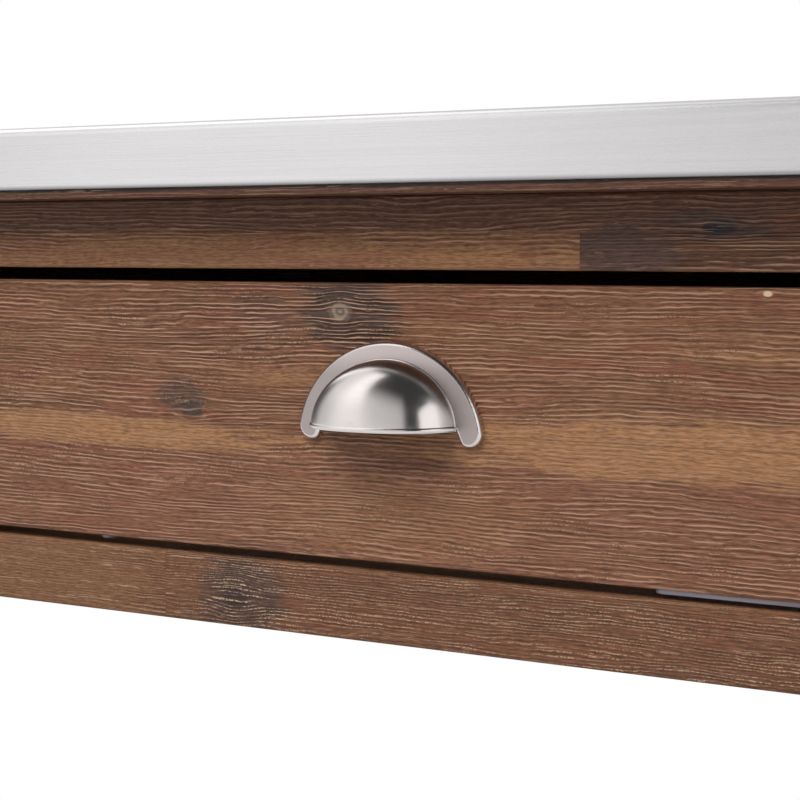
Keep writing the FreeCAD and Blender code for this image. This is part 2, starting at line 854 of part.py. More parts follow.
def under_leg(shape, side, row):
    """A caster piece turned to trail outwards and set under its leg."""
    placed = shape.copy()
    placed.rotate(ORIGIN, UP, 0 if side == RIGHT else 180)
    placed.translate(point(*caster_place(side, row)))
    return placed


# The whole cart, node by node

def worktop_nodes():
    return {"steel_top": steel_top(), "top_core": top_core(), "top_brackets": top_brackets()}


def frame_nodes():
    nodes = {name: frame_rail(name) for name in FRAME_RAILS}
    nodes["centre_stile"] = centre_stile()
    nodes["centre_runner_beam"] = centre_runner_beam()
    nodes["runner_battens"] = runner_battens()
    for row_name, row in ROWS.items():
        for side_name, side in SIDES.items():
            nodes[f"leg_{row_name}_{side_name}"] = leg(side, row)
    return nodes


def shelf_nodes():
    nodes = {}
    for name, top in SHELVES.items():
        nodes[f"{name}_long_rails"] = shelf_long_rails(top)
        nodes[f"{name}_end_rails"] = shelf_end_rails(top)
        nodes[f"{name}_slats"] = shelf_slats(top)
    return nodes


def drawer_nodes(name, side):
    return {
        f"{name}_drawer_front": drawer_front(side),
        f"{name}_drawer_left_wall": drawer_wall_board(side, LEFT),
        f"{name}_drawer_right_wall": drawer_wall_board(side, RIGHT),
        f"{name}_drawer_back": drawer_back(side),
        f"{name}_drawer_bottom": drawer_bottom_panel(side),
        f"{name}_drawer_pull": cup_pull(side),
        f"{name}_drawer_pull_screws": pull_screws(side),
        f"{name}_slide_outer": slide_pair(side, [slide_outer()]),
        f"{name}_slide_middle": slide_pair(side, [slide_middle()]),
        f"{name}_slide_ball_cages": slide_pair(side, slide_cages()),
        f"{name}_slide_inner": slide_pair(side, [slide_inner()]),
    }


def caster_nodes():
    nodes = {}
    stems = []
    for row_name, row in ROWS.items():
        braked = row_name == "front"
        for side_name, side in SIDES.items():
            name = f"caster_{row_name}_{side_name}"
            stems.append(under_leg(caster_stem(), side, row))
            nodes[f"{name}_fork"] = under_leg(caster_fork(braked), side, row)
            nodes[f"{name}_wheel"] = under_leg(caster_wheel(), side, row)
            nodes[f"{name}_axle"] = under_leg(caster_axle(), side, row)
            if braked:
                nodes[f"{name}_brake_pedal"] = under_leg(brake_pedal(), side, row)
    nodes["caster_stems"] = group(stems)
    return nodes


def cart_nodes():
    nodes = {**worktop_nodes(), **frame_nodes(), **shelf_nodes()}
    nodes["towel_bar"] = towel_bar()
    nodes["towel_bar_posts"] = towel_bar_posts()
    for name, side in SIDES.items():
        nodes.update(drawer_nodes(name, side))
    nodes.update(caster_nodes())
    return nodes


def main():
    os.makedirs("parts", exist_ok=True)
    for name, shape in cart_nodes().items():
        shape.exportStep(f"parts/{name}.step")


main()
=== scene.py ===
"""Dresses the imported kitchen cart: the brushed wood, steel, nickel, plywood and rubber finishes, the small fittings
that the solids leave out, and a plain pale stage with soft light."""
import math
from collections import namedtuple

import bpy
from bpy.props import FloatProperty, FloatVectorProperty, PointerProperty
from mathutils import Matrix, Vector


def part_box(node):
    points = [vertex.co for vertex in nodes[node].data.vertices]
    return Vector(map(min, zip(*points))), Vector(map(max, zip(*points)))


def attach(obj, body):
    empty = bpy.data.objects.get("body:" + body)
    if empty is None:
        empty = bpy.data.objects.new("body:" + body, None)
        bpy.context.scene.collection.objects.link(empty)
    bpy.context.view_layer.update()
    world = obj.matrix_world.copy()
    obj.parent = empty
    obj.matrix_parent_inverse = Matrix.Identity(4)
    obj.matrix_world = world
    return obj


bl_info = {
    "name": "Kitchen Cart",
    "version": (1, 0, 0),
    "blender": (4, 5, 0),
    "location": "View3D > Sidebar > Kitchen Cart",
    "description": "Finishes a rolling kitchen cart and adds its small fittings",
    "category": "Object",
}

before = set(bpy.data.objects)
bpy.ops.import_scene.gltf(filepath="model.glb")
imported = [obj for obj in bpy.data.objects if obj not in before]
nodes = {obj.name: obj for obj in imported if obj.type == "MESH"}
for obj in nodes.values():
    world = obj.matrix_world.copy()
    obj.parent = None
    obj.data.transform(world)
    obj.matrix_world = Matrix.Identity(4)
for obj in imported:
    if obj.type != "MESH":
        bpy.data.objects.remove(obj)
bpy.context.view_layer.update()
MM = 0.001
UP = Vector((0.0, 0.0, 1.0))

# Sizes of the solids that the fittings sit on
RAIL_THICKNESS = 26 * MM
SLAT_WIDTH = 70 * MM
SLAT_COUNT = 13
BRACKET_PLACE = 398 * MM
BRACKET_SHEET = 2 * MM
POST_EYE = 11 * MM
POST_MIDDLE = 17 * MM
FRONT_EASE = 1.5 * MM
# The pull's flange stands this far off the drawer front, in millimetres
FLANGE = 4.0

# Heights of the small heads, how far they are sunk, and where a bracket's two screws sit along its arms
SLAT_SCREW_HEIGHT = 1.2 * MM
SLAT_SCREW_SUNK = 0.8 * MM
BRACKET_SCREW_HEIGHT = 2.0 * MM
UPRIGHT_SHARE = 0.38
LEVEL_SHARE = 0.62
SET_SCREW_HEIGHT = 1.0 * MM
SET_SCREW_SUNK = 0.3 * MM

# The glide strip starts this far from the drawer front's outer end, and the button sits further in
GLIDE_MARGIN = 5 * MM
BUTTON_RADIUS = 4.4 * MM
BUTTON_HEIGHT = 1.6 * MM
BUTTON_INSET = 85 * MM
BUTTON_DEPTH = 6.5 * MM
SMOOTH_ANGLE = math.radians(40)


# Sizes and colours that a user may change

def colour(name, description, default):
    """A colour property with its default in linear red, green and blue."""
    return FloatVectorProperty(name=name, description=description, subtype="COLOR", size=3, min=0.0, max=1.0,
                               default=default)


class CartWood(bpy.types.PropertyGroup):
    """Colours and grain of the brushed wood."""

    stain: colour("Stain", "Middle tone of the stained wood", (0.160, 0.072, 0.038))
    heart: colour("Heartwood", "Dark tone of the wood", (0.090, 0.040, 0.024))
    red: colour("Red", "Reddish tone between the two", (0.170, 0.063, 0.036))
    sap: colour("Sapwood", "Light tan tone of the wood", (0.290, 0.145, 0.062))
    line: colour("Brushed line", "Pale lines that the wire brush leaves", (0.400, 0.230, 0.150))
    dust: colour("Dust", "Pale dust in the open pores", (0.520, 0.370, 0.240))
    furrow: colour("Furrow", "Dark furrows between the lines", (0.042, 0.017, 0.010))
    knot: colour("Knot", "Dark grey heart of a knot", (0.052, 0.038, 0.034))
    spacing: FloatProperty(name="Line spacing", description="Distance between brushed lines", default=1.9 * MM,
                           min=0.2 * MM, max=20 * MM, unit="LENGTH")
    relief: FloatProperty(name="Relief", description="Depth of the brushed grain", default=0.32 * MM, min=0.0,
                          max=2 * MM, unit="LENGTH")
    gloss: FloatProperty(name="Roughness", description="Roughness of the oiled surface", default=0.58, min=0.0,
                         max=1.0, subtype="FACTOR")


class CartMetal(bpy.types.PropertyGroup):
    """Colours and polish of the metals."""

    steel: colour("Steel", "Brushed steel of the worktop", (0.735, 0.72, 0.725))
    nickel: colour("Nickel", "Satin nickel of the pulls and the towel bar", (0.69, 0.645, 0.63))
    rim: colour("Satin rim", "How much the satin rim of a pull dims the nickel", (0.65, 0.605, 0.605))
    zinc: colour("Zinc", "Plated steel of the slides, brackets and casters", (0.58, 0.59, 0.60))
    bowl: FloatProperty(name="Bowl sheen", description="How steep the bowl of a pull looks, of how steep it is",
                        default=0.5, min=0.1, max=1.0, subtype="FACTOR")
    steel_roughness: FloatProperty(name="Steel roughness", description="Roughness of the brushed steel", default=0.28,
                                   min=0.0, max=1.0, subtype="FACTOR")
    nickel_roughness: FloatProperty(name="Nickel roughness", description="Roughness of the satin nickel",
                                    default=0.19, min=0.0, max=1.0, subtype="FACTOR")


class CartBox(bpy.types.PropertyGroup):
    """Colours of the drawer boxes and the wheels."""

    veneer: colour("Veneer", "Pale face of the plywood", (0.56, 0.42, 0.27))
    veneer_dark: colour("Veneer grain", "Darker grain of the plywood", (0.40, 0.27, 0.15))
    rubber: colour("Rubber", "Grey rubber of the wheels", (0.075, 0.076, 0.080))
    rubber_dust: colour("Dust", "Pale dust on the rubber", (0.19, 0.185, 0.18))


class CartFittings(bpy.types.PropertyGroup):
    """Sizes of the small fittings."""

    slat_screw: FloatProperty(name="Slat screw", description="Radius of a screw head in a slat", default=3.4 * MM,
                              min=1 * MM, max=8 * MM, unit="LENGTH")
    bracket_screw: FloatProperty(name="Bracket screw", description="Radius of a screw head in a bracket",
                                 default=3.8 * MM, min=1 * MM, max=8 * MM, unit="LENGTH")
    set_screw: FloatProperty(name="Set screw", description="Radius of a set screw in the towel bar's posts",
                             default=2.0 * MM, min=0.5 * MM, max=5 * MM, unit="LENGTH")
    glide_length: FloatProperty(name="Glide length", description="Length of a drawer's glide strip", default=121 * MM,
                                min=10 * MM, max=400 * MM, unit="LENGTH")
    glide_width: FloatProperty(name="Glide width", description="Width of a drawer's glide strip", default=14 * MM,
                               min=4 * MM, max=24 * MM, unit="LENGTH")
    glide_height: FloatProperty(name="Glide height", description="Height of a drawer's glide strip", default=2.0 * MM,
                                min=0.5 * MM, max=3 * MM, unit="LENGTH")
    glide: colour("Glide", "Grey plastic of the glide strips", (0.17, 0.145, 0.168))


class CartStage(bpy.types.PropertyGroup):
    """Light, floor and camera."""

    floor: colour("Floor", "Pale floor", (0.80, 0.80, 0.80))
    key: FloatProperty(name="Key light", description="Power of the soft light high on the left", default=12.0,
                       min=0.0, unit="POWER")
    top: FloatProperty(name="Top light", description="Power of the large soft light above the front", default=75.0,
                       min=0.0, unit="POWER")
    back: FloatProperty(name="Back light", description="Power of the soft light behind the cart", default=40.0,
                        min=0.0, unit="POWER")
    around: FloatProperty(name="Room light", description="Light that comes from all round", default=0.5, min=0.0)
    dim: FloatProperty(name="Dim side", description="What metal sees of the ceiling and the doorway", default=0.05,
                       min=0.0, max=1.0)
    camera_place: FloatVectorProperty(name="Camera", description="Place of the camera", subtype="TRANSLATION", size=3,
                                      unit="LENGTH", default=(0.7720, -0.9815, 0.8588))
    camera_yaw: FloatProperty(name="Yaw", description="Turn of the camera to the left", subtype="ANGLE",
                              default=math.radians(33.03))
    camera_pitch: FloatProperty(name="Pitch", description="Tilt of the camera down", subtype="ANGLE",
                                default=math.radians(4.17))
    camera_lens: FloatProperty(name="Lens", description="Focal length on a 36 mm sensor", default=94.5, min=1.0,
                               unit="CAMERA")


# Shader nodes

def put(socket, value):
    """Links an output to a socket, or sets the socket's own value."""
    if isinstance(value, bpy.types.NodeSocket):
        socket.id_data.links.new(value, socket)
    elif hasattr(value, "__len__") and len(socket.default_value) == 4 and len(value) == 3:
        socket.default_value = (*value, 1.0)
    else:
        socket.default_value = value


def node(tree, kind, inputs=None, **settings):
    """A shader node with its settings and its inputs."""
    made = tree.nodes.new("ShaderNode" + kind)
    for name, value in settings.items():
        setattr(made, name, value)
    for name, value in (inputs or {}).items():
        put(made.inputs[name], value)
    return made


def calc(tree, operation, *values):
    """The result of one sum on numbers."""
    made = node(tree, "Math", operation=operation)
    for socket, value in zip(made.inputs, values):
        put(socket, value)
    return made.outputs[0]


def total(tree, first, *others):
    """Numbers added together."""
    for other in others:
        first = calc(tree, "ADD", first, other)
    return first


def less(tree, first, second):
    """One number less another."""
    return calc(tree, "SUBTRACT", first, second)


def product(tree, first, *others):
    """Numbers multiplied together."""
    for other in others:
        first = calc(tree, "MULTIPLY", first, other)
    return first


def most(tree, first, second):
    """The larger of two numbers."""
    return calc(tree, "MAXIMUM", first, second)


def mix(tree, share, first, second):
    """A mix of two numbers."""
    return node(tree, "Mix", {0: share, 2: first, 3: second}).outputs[0]


def vector_calc(tree, operation, *vectors):
    """The result of one sum on vectors, which is a vector."""
    return node(tree, "VectorMath", dict(enumerate(vectors)), operation=operation).outputs[0]


def length(tree, vector):
    """The length of a vector."""
    return node(tree, "VectorMath", {0: vector}, operation="LENGTH").outputs["Value"]


def split(tree, vector):
    """The three numbers of a vector."""
    return node(tree, "SeparateXYZ", {"Vector": vector}).outputs


def join(tree, x, y, z):
    """A vector from three numbers."""
    return node(tree, "CombineXYZ", {"X": x, "Y": y, "Z": z}).outputs[0]


def blend(tree, share, first, second, kind="MIX"):
    """A mix of two colours."""
    made = node(tree, "Mix", data_type="RGBA", blend_type=kind)
    for index, value in ((0, share), (6, first), (7, second)):
        put(made.inputs[index], value)
    return made.outputs[2]


def shaded(tree, tint, share):
    """A colour made darker or lighter by a number."""
    return blend(tree, 1.0, tint, join(tree, share, share, share), "MULTIPLY")


def fade(tree, value, low, high, start=0.0, end=1.0):
    """A smooth change from start, at low, to end, at high."""
    made = node(tree, "MapRange", {"Value": value, "From Min": low, "From Max": high, "To Min": start, "To Max": end},
                interpolation_type="SMOOTHSTEP")
    return made.outputs[0]


def swing(tree, value, size):
    """Noise from 0 to 1 as a swing to both sides of 0, size wide in all."""
    return product(tree, less(tree, value, 0.5), size)


def noise(tree, place, along, across, detail=2.0, shift=0.0):
    """Noise drawn out along the grain: one feature is about along by across, in the units of place."""
    drawn = node(tree, "Mapping", {"Vector": place, "Scale": (1 / along, 1 / across, 1 / across),
                                   "Location": (shift, 1.7 * shift, 0.6 * shift)})
    return node(tree, "TexNoise", {"Vector": drawn.outputs[0], "Scale": 1.0, "Detail": detail}).outputs["Fac"]


def new_material(name):
    """An empty material, its tree, its shader and the object's coordinates in millimetres."""
    made = bpy.data.materials.new(name)
    made.use_nodes = True
    tree = made.node_tree
    shader = tree.nodes["Principled BSDF"]
    place = node(tree, "TexCoord").outputs["Object"]
    scaled = node(tree, "Mapping", {"Vector": place, "Scale": (1 / MM, 1 / MM, 1 / MM)})
    return made, tree, shader, scaled.outputs[0]


def bump(tree, shader, height, distance, facing=None):
    """Relief on the shader from a height between 0 and 1, on the surface's own facing or on a given one."""
    made = node(tree, "Bump", {"Height": height, "Distance": distance, "Strength": 1.0})
    if facing is not None:
        put(made.inputs["Normal"], facing)
    put(shader.inputs["Normal"], made.outputs[0])


def dress(name, material):
    """Gives one node of the frame its material."""
    slots = nodes[name].data.materials
    slots.clear()
    slots.append(material)


# Brushed wood

# A stain on a board, which on the top core is also used for a painted shadow: its place along and across the grain,
# its size, its colour, how strong it is, how far it calms the brushed lines, and the joint that it starts from
Mark = namedtuple("Mark", "along across length height colour strength calm start", defaults=(0.0, None))
# Glued staves: their width, the lower seam of one row, their length, a butt joint in that row and the shift per row
Staves = namedtuple("Staves", "width seam length butt shift")
# A knot: its place along and across the grain, its size, its colour, how strong it is and how clear its rings are
Knot = namedtuple("Knot", "along across length height colour strength rings", defaults=(0.0,))
# The axes along the grain, across it and into the board
GRAIN_AXES = {"x": (0, 2, 1), "y": (1, 0, 2), "z": (2, 0, 1)}
SEAM_EDGE = 0.3
# How far the grain of one stave may be shifted from that of the next
STAVE_SHIFT = (900.0, 70.0, 70.0)


def from_mark(tree, along, across, mark):
    """Distance from the middle of a mark, 1 at its edge."""
    a = calc(tree, "DIVIDE", less(tree, along, mark.along), mark.length / 2)
    b = calc(tree, "DIVIDE", less(tree, across, mark.across), mark.height / 2)
    return length(tree, join(tree, a, b, 0.0))


def seam_lines(tree, position, width):
    """1 on thin glue lines, at every second joint between staves of that width."""
    return fade(tree, calc(tree, "PINGPONG", position, width), SEAM_EDGE, 0.0)


def stave_pattern(tree, along, across, staves, seed):
    """A random pick for each stave, and the glue lines between them."""
    across_seam = less(tree, across, staves.seam)
    row = calc(tree, "FLOOR", calc(tree, "DIVIDE", across_seam, staves.width))
    along_butt = total(tree, less(tree, along, staves.butt), product(tree, row, staves.shift))
    column = calc(tree, "FLOOR", calc(tree, "DIVIDE", along_butt, staves.length))
    pick = node(tree, "TexWhiteNoise", {"Vector": join(tree, row, column, seed * 1.3)}, noise_dimensions="3D")
    seams = most(tree, seam_lines(tree, across_seam, staves.width), seam_lines(tree, along_butt, staves.length))
    return pick.outputs, seams


def wandering_grain(tree, run, along, across, knots, seed):
    """The run of the grain, which wanders and goes round the knots."""
    drift = total(tree, swing(tree, noise(tree, run, 150, 24, 2.0, seed), 11.0),
                  swing(tree, noise(tree, run, 15, 6, 1.0, seed), 1.5),
                  swing(tree, noise(tree, run, 5, 2.5, 1.0, seed), 0.5))
    for knot in knots:
        pushed = fade(tree, from_mark(tree, along, across, knot), 2.2, 0.0)
        drift = less(tree, drift, product(tree, less(tree, across, knot.across), pushed, 0.5))
    return vector_calc(tree, "ADD", run, join(tree, 0.0, drift, drift))


def broad_tones(tree, bent, pick, seed):
    """The dark, middle, red and tan tones of the wood, without its lines."""
    look = bpy.context.scene.cart_wood
    tone = total(tree, product(tree, pick, 0.3), product(tree, noise(tree, bent, 260, 9, 3.0, seed + 2), 0.75))
    mixed = blend(tree, fade(tree, tone, 0.30, 0.52), look.heart, look.stain)
    mixed = blend(tree, fade(tree, tone, 0.56, 0.86), mixed, look.sap)
    blush = noise(tree, bent, 70, 11, 2.0, seed + 7)
    return blend(tree, fade(tree, blush, 0.48, 0.66, 0.0, 0.75), mixed, look.red)


def stained(tree, mixed, along, across, ragged, stains_and_shadows):
    """The colour with its stained patches and painted shadows, and how lively the brushed lines are there."""
    lively = 1.0
    for mark in stains_and_shadows:
        share = fade(tree, total(tree, from_mark(tree, along, across, mark), ragged), 1.05, 0.6)
        if mark.start is not None:
            share = product(tree, share, calc(tree, "GREATER_THAN", along, mark.start))
        mixed = blend(tree, product(tree, share, mark.strength), mixed, mark.colour)
        lively = product(tree, lively, fade(tree, share, 0.0, 1.0, 1.0, 1.0 - mark.calm))
    return mixed, lively


def knotted(tree, mixed, along, across, ragged, knots):
    """The colour with its knots."""
    for knot in knots:
        spot = total(tree, from_mark(tree, along, across, knot), product(tree, ragged, 0.5))
        share = fade(tree, spot, 1.0, 0.6, 0.0, knot.strength)
        if knot.rings:
            waves = calc(tree, "SINE", product(tree, spot, 15.0))
            share = product(tree, share, fade(tree, waves, -0.6, 0.6, 1.0 - knot.rings, 1.0))
        mixed = blend(tree, share, mixed, knot.colour)
    return mixed


def brushed_lines(tree, bent, deep, fine, seed):
    """The brushed lines, about -1 in a furrow and 1 on a ridge."""
    spacing = fine * bpy.context.scene.cart_wood.spacing
    depth = total(tree, split(tree, bent)[1], deep)
    ridges = calc(tree, "SINE", product(tree, depth, math.tau * MM / spacing))
    broken = fade(tree, noise(tree, bent, 34, 2.2, 1.0, seed + 3), 0.3, 0.55, 0.35, 1.0)
    streaks = swing(tree, noise(tree, bent, 36, 0.9 * fine, 1.0, seed), 1.5)
    return total(tree, product(tree, ridges, broken), streaks)


def pale_lines(tree, lines, bent, run, lively, mottled, seed):
    """How far pale lines cover the wood: the ridges, broken to dashes where it is mottled, and lone long lines."""
    patchy = fade(tree, noise(tree, run, 60, 12, 2.0, seed + 5), 0.30, 0.55, 0.35, 1.0)
    dashes = fade(tree, noise(tree, bent, 0.9, 0.55, 0.0, seed + 4), 0.42, 0.60)
    whole = fade(tree, product(tree, mottled, less(tree, 1.0, dashes)), 0.0, 1.0, 1.0, 0.1)
    pale = product(tree, fade(tree, lines, 0.4, 1.05), patchy, lively, whole, 0.85)
    lone = fade(tree, noise(tree, bent, 60, 0.5, 0.0, seed + 8), 0.68, 0.80, 0.0, 0.45)
    return most(tree, pale, lone)


def worn_edges(tree, place, run, box, seed):
    """How worn the wood is, from the distance to the edges of the board's box."""
    low, high = (Vector(corner) / MM for corner in box)
    from_middle = vector_calc(tree, "ABSOLUTE", vector_calc(tree, "SUBTRACT", place, tuple((low + high) / 2)))
    a, b, c = split(tree, vector_calc(tree, "SUBTRACT", tuple((high - low) / 2), from_middle))
    second = most(tree, calc(tree, "MINIMUM", a, b), calc(tree, "MINIMUM", most(tree, a, b), c))
    rough_edge = total(tree, second, product(tree, noise(tree, run, 9, 2, 3.0, seed), 2.4))
    return fade(tree, rough_edge, 2.4, 0.9, 0.0, 0.4)


def brushed_wood(name, grain, seed, staves, knots=(), stains_and_shadows=(), box=None, fine=1.0, dashed=0.3):
    """Wire-brushed wood with its grain along one axis, glued from staves. Its lines may be finer, or broken to
    dashes."""
    look = bpy.context.scene.cart_wood
    made, tree, shader, place = new_material(name)
    parts = split(tree, place)
    along, across, deep = (parts[i] for i in GRAIN_AXES[grain])

    # Each stave has its own tone and its own run of grain
    pick, seams = stave_pattern(tree, along, across, staves, seed)
    shift = vector_calc(tree, "MULTIPLY", pick["Color"], STAVE_SHIFT)
    run = vector_calc(tree, "ADD", join(tree, along, across, deep), shift)
    bent = wandering_grain(tree, run, along, across, knots, seed)
    mixed = broad_tones(tree, bent, pick["Value"], seed)

    # Stained patches, painted shadows and dark knots lie under the brushed lines
    ragged = swing(tree, noise(tree, bent, 26, 4, 3.0, seed), 1.1)
    mixed, lively = stained(tree, mixed, along, across, ragged, stains_and_shadows)
    mixed = knotted(tree, mixed, along, across, ragged, [knot for knot in knots if not knot.rings])

    # Fine fibres, dark furrows and pale lines
    lines = brushed_lines(tree, bent, deep, fine, seed)
    mottled = fade(tree, noise(tree, run, 34, 14, 1.0, seed + 6), 0.66 - 0.5 * dashed, 0.78 - 0.5 * dashed)
    pale = pale_lines(tree, lines, bent, run, lively, mottled, seed)
    dark = product(tree, fade(tree, lines, -0.3, -1.15, 0.0, 0.55), lively)
    fibres = noise(tree, bent, 5, 0.45, 1.0, seed + 9)
    mixed = shaded(tree, mixed, fade(tree, fibres, 0.25, 0.75, 0.65, 1.35))
    mixed = blend(tree, dark, mixed, look.furrow)
    mixed = blend(tree, pale, mixed, blend(tree, product(tree, mottled, dashed), look.line, look.dust))

    # Ringed knots, glue lines and worn edges lie over them
    mixed = knotted(tree, mixed, along, across, ragged, [knot for knot in knots if knot.rings])
    mixed = blend(tree, product(tree, seams, 0.5), mixed, look.furrow)
    if box is not None:
        mixed = blend(tree, worn_edges(tree, place, run, box, seed), mixed, look.sap)

    bump(tree, shader, total(tree, product(tree, lines, lively, 0.5), product(tree, fibres, 0.3)), look.relief)
    put(shader.inputs["Base Color"], mixed)
    put(shader.inputs["Roughness"], fade(tree, lines, -0.8, 0.8, look.gloss + 0.12, look.gloss - 0.08))
    shader.inputs["Specular IOR Level"].default_value = 0.25
    return made


# Metals, plywood and rubber

# Height of the painted shade along the hem of the worktop's skirt, which stands for its rounded edge reflecting the
# dark floor, in millimetres
HEM_SHADE = 2.6
# How much painted shade dims the steel where it faces up
TOP_SHADE = 0.82
# The steepest slope that the bowl of a pull seems to have
STEEPEST = 1.7


def brushed_steel(name, low):
    """Sheet steel, brushed along the worktop and along the folded ends, with painted shade along the hem of its
    skirt and on its top."""
    look = bpy.context.scene.cart_metal
    made, tree, shader, place = new_material(name)
    x, y, z = split(tree, place)
    facing = split(tree, node(tree, "NewGeometry").outputs["True Normal"])
    on_end = calc(tree, "GREATER_THAN", calc(tree, "ABSOLUTE", facing[0]), 0.6)
    # Painted shade on the faces that look up
    on_top = fade(tree, facing[2], 0.9, 0.99, 1.0, TOP_SHADE)
    turned = node(tree, "Mix", {"Factor": on_end}, data_type="VECTOR")
    put(turned.inputs[4], place)
    put(turned.inputs[5], join(tree, y, x, z))
    run = turned.outputs[1]
    scratches = noise(tree, run, 55, 0.16, 3.0)
    streaks = noise(tree, run, 180, 1.3, 3.0, 4.0)
    cloud = noise(tree, place, 140, 60, 3.0, 9.0)
    # The tone holds scratches, streaks and painted shade along the hem, which stands for the rounded edge reflecting
    # the dark floor
    tone = total(tree, fade(tree, scratches, 0.3, 0.7, -0.03, 0.03), fade(tree, streaks, 0.3, 0.7, -0.015, 0.015),
                 fade(tree, z, low, low + HEM_SHADE, 0.35, 0.97))
    put(shader.inputs["Base Color"], shaded(tree, look.steel, product(tree, tone, on_top)))
    shader.inputs["Metallic"].default_value = 1.0
    rough = total(tree, fade(tree, cloud, 0.3, 0.7, -0.01, 0.015), fade(tree, scratches, 0.3, 0.7, -0.05, 0.06),
                  look.steel_roughness)
    put(shader.inputs["Roughness"], rough)
    bump(tree, shader, scratches, 0.02 * MM)
    return made


def bowl_facing(tree, normal, front):
    """The facing of a pull that seems shallower, and never steep, in front of its rim."""
    look = bpy.context.scene.cart_metal
    square = calc(tree, "POWER", split(tree, normal)[1], 2.0)
    slope = calc(tree, "DIVIDE", less(tree, 1.0, square), most(tree, square, 0.001))
    limit = total(tree, 1.0, product(tree, slope, (look.bowl / STEEPEST) ** 2))
    flatter = mix(tree, front, 1.0, product(tree, calc(tree, "POWER", limit, -0.5), look.bowl))
    return vector_calc(tree, "NORMALIZE", vector_calc(tree, "MULTIPLY", normal, join(tree, flatter, 1.0, flatter)))


def satin_nickel(name, flat=None, top=0.0):
    """Plated nickel. A pull's rim is satin where it is flat, behind a given depth, with a painted highlight that
    makes it paler towards its top. Its bowl, in front of that, shines as a shallower one."""
    look = bpy.context.scene.cart_metal
    made, tree, shader, place = new_material(name)
    scratches = noise(tree, place, 22, 0.25, 2.0)
    cloud = noise(tree, place, 26, 26, 3.0, 3.0)
    tint = shaded(tree, look.nickel, fade(tree, cloud, 0.3, 0.7, 0.95, 1.03))
    rough = total(tree, fade(tree, cloud, 0.35, 0.65, -0.03, 0.04), fade(tree, scratches, 0.3, 0.7, -0.02, 0.03),
                  look.nickel_roughness)
    facing = None
    if flat is not None:
        normal = node(tree, "NewGeometry").outputs["Normal"]
        depth = split(tree, place)[1]
        facing = bowl_facing(tree, normal, fade(tree, depth, flat - 0.5, flat - 1.5))
        rim = product(tree, fade(tree, split(tree, normal)[1], -0.955, -0.995),
                      fade(tree, depth, flat - 0.6, flat - 0.3))
        # The satin tint of the rim, with a painted highlight that grows paler towards the pull's top
        satin = shaded(tree, look.rim, fade(tree, split(tree, place)[2], top - 16.0, top - 4.0, 1.0, 1.5))
        tint = blend(tree, rim, tint, blend(tree, 1.0, tint, satin, "MULTIPLY"))
        rough = total(tree, rough, product(tree, rim, 0.25))
    put(shader.inputs["Base Color"], tint)
    shader.inputs["Metallic"].default_value = 1.0
    put(shader.inputs["Roughness"], rough)
    bump(tree, shader, scratches, 0.006 * MM, facing)
    return made


def zinc_plate(name):
    """Dull bright-dipped zinc with faint crystals."""
    look = bpy.context.scene.cart_metal
    made, tree, shader, place = new_material(name)
    crystals = node(tree, "TexVoronoi", {"Vector": place, "Scale": 0.45}).outputs["Color"]
    cloud = noise(tree, place, 30, 30, 4.0)
    tint = blend(tree, 0.10, look.zinc, crystals, "OVERLAY")
    put(shader.inputs["Base Color"], shaded(tree, tint, fade(tree, cloud, 0.3, 0.7, 0.86, 1.06)))
    shader.inputs["Metallic"].default_value = 1.0
    put(shader.inputs["Roughness"], fade(tree, cloud, 0.3, 0.7, 0.30, 0.46))
    bump(tree, shader, cloud, 0.03 * MM)
    return made


def plywood(name, grain, seed):
    """Clear-finished pale plywood with a darker figure."""
    look = bpy.context.scene.cart_box
    made, tree, shader, place = new_material(name)
    parts = split(tree, place)
    run = join(tree, *(parts[i] for i in GRAIN_AXES[grain]))
    figure = noise(tree, run, 190, 14, 4.0, seed)
    pores = noise(tree, run, 9, 0.5, 2.0, seed + 3)
    tint = blend(tree, fade(tree, figure, 0.38, 0.68), look.veneer, look.veneer_dark)
    put(shader.inputs["Base Color"], shaded(tree, tint, fade(tree, pores, 0.3, 0.65, 0.86, 1.06)))
    put(shader.inputs["Roughness"], fade(tree, pores, 0.3, 0.7, 0.62, 0.5))
    bump(tree, shader, pores, 0.05 * MM)
    return made


def wheel_rubber(name):
    """Grey rubber with patches of dust."""
    look = bpy.context.scene.cart_box
    made, tree, shader, place = new_material(name)
    specks = noise(tree, place, 1.2, 1.2, 4.0)
    cloud = noise(tree, place, 14, 14, 4.0, 6.0)
    tint = blend(tree, fade(tree, cloud, 0.45, 0.75, 0.0, 0.5), look.rubber, look.rubber_dust)
    put(shader.inputs["Base Color"], shaded(tree, tint, fade(tree, specks, 0.3, 0.7, 0.85, 1.15)))
    put(shader.inputs["Roughness"], fade(tree, cloud, 0.3, 0.7, 0.5, 0.72))
    bump(tree, shader, specks, 0.08 * MM)
    return made


def glide_plastic(name):
    """Smooth grey plastic, rubbed along the glide."""
    look = bpy.context.scene.cart_fittings
    made, tree, shader, place = new_material(name)
    rubbed = noise(tree, place, 30, 1.2, 3.0)
    put(shader.inputs["Base Color"], shaded(tree, look.glide, fade(tree, rubbed, 0.3, 0.7, 0.85, 1.1)))
    put(shader.inputs["Roughness"], fade(tree, rubbed, 0.3, 0.7, 0.55, 0.38))
    bump(tree, shader, rubbed, 0.03 * MM)
    return made


# Modelling by hand

def edit(piece, kind, test, *actions):
    """Selects the faces or edges of a piece that pass a test, and runs actions on them in edit mode."""
    mesh = piece.data
    bpy.context.view_layer.objects.active = piece
    bpy.ops.object.mode_set(mode="EDIT")
    bpy.ops.mesh.select_mode(type=kind)
    bpy.ops.mesh.select_all(action="DESELECT")
    bpy.ops.object.mode_set(mode="OBJECT")
    for part in (mesh.polygons if kind == "FACE" else mesh.edges):
        part.select = test(part)
    bpy.ops.object.mode_set(mode="EDIT")
    for action in actions:
        action()
    bpy.ops.object.mode_set(mode="OBJECT")


def edge_middle(mesh, one):
    """The middle of an edge."""
    first, second = (mesh.vertices[i].co for i in one.vertices)
    return (first + second) / 2


